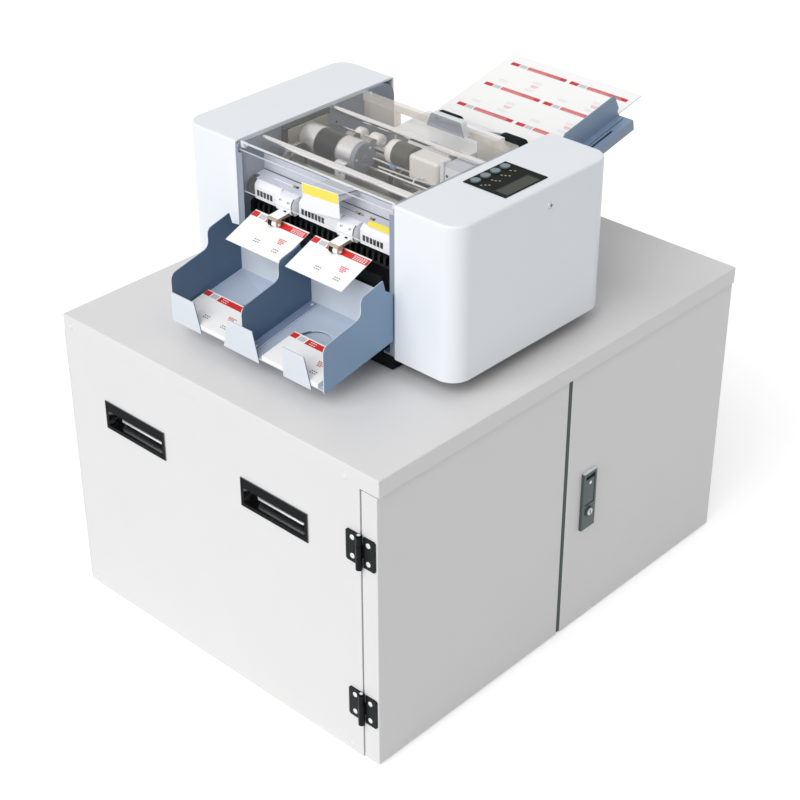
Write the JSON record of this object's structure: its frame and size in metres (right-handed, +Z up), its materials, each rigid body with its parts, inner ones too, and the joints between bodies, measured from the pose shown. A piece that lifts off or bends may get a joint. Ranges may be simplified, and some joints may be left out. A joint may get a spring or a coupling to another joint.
{
  "type": "business card cutter",
  "caption": "Automatic sheet-to-card slitter with a rear feed table, clear cover and two-bin catch tray, on a two-door steel cabinet.",
  "frame": {"origin": "middle of the cabinet's underside, on the floor", "axes": "+X to the operator's right (cabinet doors and controls), +Y to the sheet feed side, +Z up"},
  "size_m": [0.5335, 0.672, 0.6322],
  "materials": {
    "cabinet_paint": "fine textured powder coat, light warm grey",
    "handle_black": "glossy moulded black",
    "hinge_black": "black lacquer",
    "lock_metal": "satin",
    "chassis_black": "matt black",
    "foot_rubber": "matt",
    "frame_paint": "satin blue grey",
    "housing_paint": "satin off-white",
    "bright_steel": "ground and polished",
    "gear_steel": "machined",
    "motor_metal": "turned, black painted band",
    "gearbox_white": "matt",
    "knife_steel": "ground",
    "roller_rubber": "matt",
    "deck_steel": "satin",
    "guard_white": "matt",
    "guide_black": "matt",
    "clip_metal": "satin",
    "clear_sheet": "clear acrylic, polished",
    "panel_black": "membrane, semi-gloss",
    "display_glass": "tinted",
    "button_grey": "matt",
    "inlet_black": "matt",
    "tray_paint": "satin blue grey",
    "paper_print": "coated paper with red bars"
  },
  "bodies": {
    "cabinet": {"cabinet_top": "cabinet_paint", "cabinet_front": "cabinet_paint", "cabinet_rear": "cabinet_paint", "cabinet_back": "cabinet_paint", "cabinet_bottom": "cabinet_paint", "carry_handles_front": "handle_black", "carry_handles_rear": "handle_black", "hinge_leaves_fixed": "hinge_black", "base_chassis": "chassis_black", "rubber_feet": "foot_rubber", "side_frame_left": "frame_paint", "side_frame_right": "frame_paint", "housing_left": "housing_paint", "housing_right": "housing_paint", "cross_rods": "bright_steel", "main_motor": "motor_metal", "fixed_knife": "knife_steel", "feed_motor": "gearbox_white", "paper_deck": "deck_steel", "knife_cover": "deck_steel", "upper_guards": "guard_white", "lower_guide": "guide_black", "exit_clips": "clip_metal", "front_window": "clear_sheet", "control_panel": "panel_black", "display_window": "display_glass", "mains_inlet": "inlet_black", "tray_pan": "tray_paint", "tray_divider": "tray_paint", "feed_table": "tray_paint", "sheet_pile": "paper_print", "cut_cards": "paper_print"},
    "door_front": {"door_front": "cabinet_paint", "door_front_hinges": "hinge_black"},
    "door_rear": {"door_rear": "cabinet_paint", "door_rear_hinges": "hinge_black", "lock_plate": "lock_metal"},
    "lock_pull": {"lock_pull": "lock_metal"},
    "lock_cylinder": {"lock_cylinder": "lock_metal"},
    "main_pinion": {"main_pinion": "gear_steel"},
    "knife_crank": {"knife_crank": "gear_steel"},
    "moving_knife": {"moving_knife": "knife_steel"},
    "slitter_upper": {"slitter_upper": "gear_steel"},
    "slitter_lower": {"slitter_lower": "gear_steel"},
    "feed_motor_shaft": {"feed_motor_shaft": "gear_steel"},
    "idler_gear": {"idler_gear": "gear_steel"},
    "feed_upper": {"feed_upper": "gear_steel"},
    "feed_lower": {"feed_lower": "gear_steel"},
    "pickup_arm": {"pickup_arm": "guard_white"},
    "pickup_rollers": {"pickup_rollers": "roller_rubber"},
    "exit_roller_left": {"exit_roller_left": "clip_metal"},
    "exit_roller_right": {"exit_roller_right": "clip_metal"},
    "clear_cover": {"clear_cover": "clear_sheet", "cover_handle": "clear_sheet"},
    "push_button_1": {"push_button_1": "button_grey"},
    "push_button_2": {"push_button_2": "button_grey"},
    "push_button_3": {"push_button_3": "button_grey"},
    "push_button_4": {"push_button_4": "button_grey"},
    "power_rocker": {"power_rocker": "inlet_black"},
    "side_guide": {"side_guide": "tray_paint"}
  },
  "joints": [
    {"name": "door_front_swing", "type": "hinge", "parent": "cabinet", "child": "door_front", "pos_m": [0.238, -0.332, 0.2], "axis": [0, 0, -1], "range_deg": [0, 165]},
    {"name": "door_rear_swing", "type": "hinge", "parent": "cabinet", "child": "door_rear", "pos_m": [0.238, 0.332, 0.2], "axis": [0, 0, 1], "range_deg": [0, 165]},
    {"name": "lock_turn", "type": "hinge", "parent": "door_rear", "child": "lock_cylinder", "pos_m": [0.262, 0.044, 0.172], "axis": [-1, 0, 0], "range_deg": [0, 90]},
    {"name": "pull_swing", "type": "hinge", "parent": "door_rear", "child": "lock_pull", "pos_m": [0.2649, 0.044, 0.219], "axis": [0, -1, 0], "range_deg": [0, 40]},
    {"name": "crank_spin", "type": "hinge", "parent": "cabinet", "child": "knife_crank", "pos_m": [0, -0.088, 0.5709], "axis": [1, 0, 0], "continuous": true},
    {"name": "main_pinion_spin", "type": "hinge", "parent": "cabinet", "child": "main_pinion", "pos_m": [0, -0.048, 0.588], "axis": [1, 0, 0], "continuous": true},
    {"name": "knife_slide", "type": "slide", "parent": "cabinet", "child": "moving_knife", "axis": [0, 0, -1], "range_m": [0, 0.006]},
    {"name": "slitter_upper_spin", "type": "hinge", "parent": "cabinet", "child": "slitter_upper", "pos_m": [0, -0.0099, 0.55075], "axis": [1, 0, 0], "continuous": true},
    {"name": "slitter_lower_spin", "type": "hinge", "parent": "cabinet", "child": "slitter_lower", "pos_m": [0, -0.0099, 0.51925], "axis": [1, 0, 0], "continuous": true},
    {"name": "feed_motor_spin", "type": "hinge", "parent": "cabinet", "child": "feed_motor_shaft", "pos_m": [0, -0.014, 0.585], "axis": [1, 0, 0], "continuous": true},
    {"name": "idler_spin", "type": "hinge", "parent": "cabinet", "child": "idler_gear", "pos_m": [0, 0.01253, 0.5612], "axis": [1, 0, 0], "continuous": true},
    {"name": "feed_upper_spin", "type": "hinge", "parent": "cabinet", "child": "feed_upper", "pos_m": [0, 0.028, 0.547], "axis": [1, 0, 0], "continuous": true},
    {"name": "feed_lower_spin", "type": "hinge", "parent": "cabinet", "child": "feed_lower", "pos_m": [0, 0.028, 0.523], "axis": [1, 0, 0], "continuous": true},
    {"name": "pickup_lift", "type": "hinge", "parent": "cabinet", "child": "pickup_arm", "pos_m": [0, 0.028, 0.547], "axis": [1, 0, 0], "range_deg": [0, 8]},
    {"name": "pickup_spin", "type": "hinge", "parent": "pickup_arm", "child": "pickup_rollers", "pos_m": [0, 0.133, 0.56595], "axis": [1, 0, 0], "continuous": true},
    {"name": "exit_left_spin", "type": "hinge", "parent": "cabinet", "child": "exit_roller_left", "pos_m": [-0.0575, -0.1646, 0.5343], "axis": [1, 0, 0], "continuous": true},
    {"name": "exit_right_spin", "type": "hinge", "parent": "cabinet", "child": "exit_roller_right", "pos_m": [0.0425, -0.1646, 0.5343], "axis": [1, 0, 0], "continuous": true},
    {"name": "cover_tip", "type": "hinge", "parent": "cabinet", "child": "clear_cover", "pos_m": [0, -0.149, 0.6082], "axis": [1, 0, 0], "range_deg": [0, 90]},
    {"name": "button_1_press", "type": "slide", "parent": "cabinet", "child": "push_button_1", "axis": [0, 0, -1], "range_m": [0, 0.001], "stiffness_N_per_m": 1200},
    {"name": "button_2_press", "type": "slide", "parent": "cabinet", "child": "push_button_2", "axis": [0, 0, -1], "range_m": [0, 0.001], "stiffness_N_per_m": 1200},
    {"name": "button_3_press", "type": "slide", "parent": "cabinet", "child": "push_button_3", "axis": [0, 0, -1], "range_m": [0, 0.001], "stiffness_N_per_m": 1200},
    {"name": "button_4_press", "type": "slide", "parent": "cabinet", "child": "push_button_4", "axis": [0, 0, -1], "range_m": [0, 0.001], "stiffness_N_per_m": 1200},
    {"name": "rocker_tilt", "type": "hinge", "parent": "cabinet", "child": "power_rocker", "pos_m": [-0.151, 0.111, 0.4545], "axis": [1, 0, 0], "range_deg": [-8, 8]},
    {"name": "guide_slide", "type": "slide", "parent": "cabinet", "child": "side_guide", "axis": [1, 0, 0], "range_m": [0, 0.01]}
  ],
  "couplings": [
    {"joint": "main_pinion_spin", "follows": "crank_spin", "ratio": -3.1429},
    {"joint": "slitter_lower_spin", "follows": "slitter_upper_spin", "ratio": -1},
    {"joint": "feed_motor_spin", "follows": "slitter_upper_spin", "ratio": -0.84},
    {"joint": "idler_spin", "follows": "slitter_upper_spin", "ratio": -1.75},
    {"joint": "feed_upper_spin", "follows": "slitter_upper_spin", "ratio": 1.3125},
    {"joint": "feed_lower_spin", "follows": "slitter_upper_spin", "ratio": -1.3125},
    {"joint": "pickup_spin", "follows": "slitter_upper_spin", "ratio": 1.3125}
  ]
}
